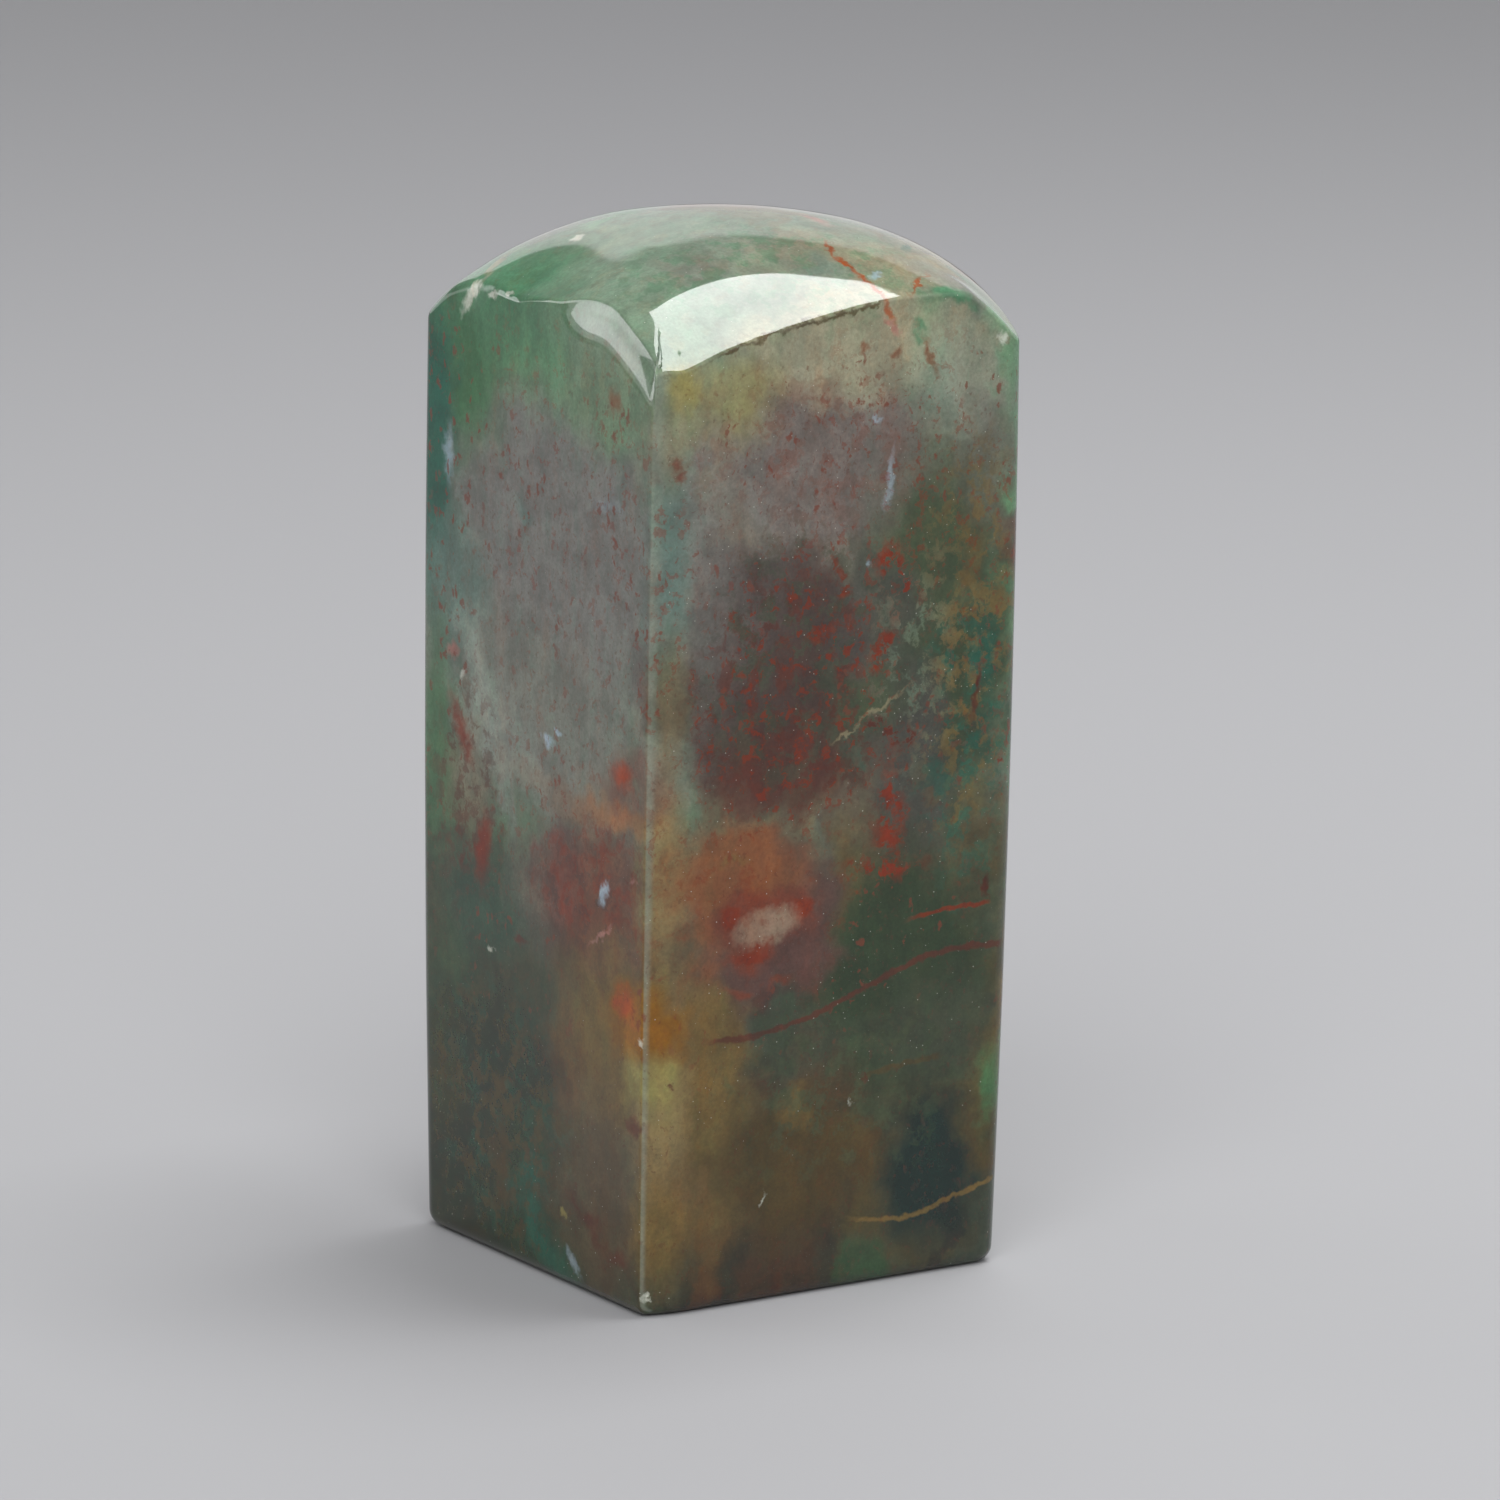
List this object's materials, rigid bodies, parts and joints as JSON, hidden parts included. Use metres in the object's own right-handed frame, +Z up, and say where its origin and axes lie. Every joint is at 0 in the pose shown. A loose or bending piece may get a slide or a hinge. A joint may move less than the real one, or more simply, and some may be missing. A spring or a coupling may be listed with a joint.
{
  "type": "seal stamp",
  "caption": "Blank square seal of polished patterned hardstone, with a domed top ground flatter over two sides and a flat sealing face to carve and ink.",
  "frame": {"origin": "middle of the flat sealing face, on the surface the seal stands on", "axes": "+Z up along the stone to the top of the crown; +X and +Y square to the two pairs of sides"},
  "size_m": [0.025, 0.025, 0.06],
  "materials": {
    "polished_stone": "polished"
  },
  "bodies": {
    "root": {"seal_stone": "polished_stone"}
  },
  "joints": []
}
